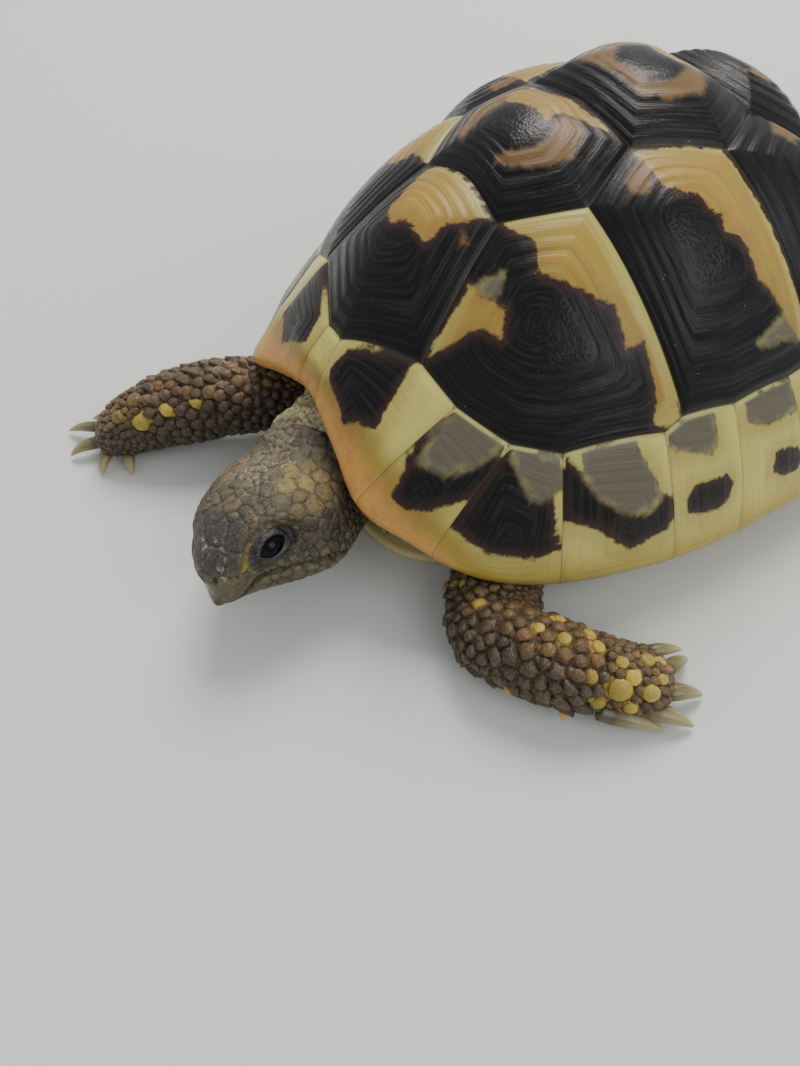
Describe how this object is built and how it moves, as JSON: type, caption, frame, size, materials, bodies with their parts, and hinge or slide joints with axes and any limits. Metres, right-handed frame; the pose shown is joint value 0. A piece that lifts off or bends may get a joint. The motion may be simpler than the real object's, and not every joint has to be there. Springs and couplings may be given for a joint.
{
  "type": "tortoise",
  "caption": "Life-size still model of a young Hermann's tortoise lying on its belly, forelegs spread and head turned to its left, with a domed black and yellow shell.",
  "frame": {"origin": "on the ground under the middle of the plastron, which is the flat belly plate", "axes": "-Z down through the belly onto the ground, -Y towards the head, +X towards the animal's left"},
  "size_m": [0.1067, 0.1409, 0.0544],
  "materials": {
    "horn": "glossy keratin with growth rings, black and yellow",
    "rim_horn": "glossy keratin, yellow to orange with black blotches",
    "skin": "scaly grey-brown skin",
    "belly": "pale yellow keratin with dark patches",
    "claw": "olive-yellow translucent horn",
    "eye": "wet, dark brown"
  },
  "bodies": {
    "root": {"claw_left_1": "claw", "claw_left_2": "claw", "claw_left_3": "claw", "claw_left_4": "claw", "claw_left_5": "claw", "claw_right_1": "claw", "claw_right_2": "claw", "claw_right_3": "claw", "claw_right_4": "claw", "claw_right_5": "claw", "costal_left_1": "horn", "costal_left_2": "horn", "costal_left_3": "horn", "costal_left_4": "horn", "costal_right_1": "horn", "costal_right_2": "horn", "costal_right_3": "horn", "costal_right_4": "horn", "eye_left": "eye", "eye_right": "eye", "foreleg_left": "skin", "foreleg_right": "skin", "head": "skin", "hindleg_left": "skin", "hindleg_right": "skin", "lower_jaw": "skin", "marginal_left_01": "rim_horn", "marginal_left_02": "rim_horn", "marginal_left_03": "rim_horn", "marginal_left_04": "rim_horn", "marginal_left_05": "rim_horn", "marginal_left_06": "rim_horn", "marginal_left_07": "rim_horn", "marginal_left_08": "rim_horn", "marginal_left_09": "rim_horn", "marginal_left_10": "rim_horn", "marginal_left_11": "rim_horn", "marginal_right_01": "rim_horn", "marginal_right_02": "rim_horn", "marginal_right_03": "rim_horn", "marginal_right_04": "rim_horn", "marginal_right_05": "rim_horn", "marginal_right_06": "rim_horn", "marginal_right_07": "rim_horn", "marginal_right_08": "rim_horn", "marginal_right_09": "rim_horn", "marginal_right_10": "rim_horn", "marginal_right_11": "rim_horn", "neck": "skin", "nuchal": "rim_horn", "plastron": "belly", "supracaudal": "rim_horn", "tail": "skin", "trunk": "skin", "vertebral_1": "horn", "vertebral_2": "horn", "vertebral_3": "horn", "vertebral_4": "horn", "vertebral_5": "horn"}
  },
  "joints": []
}
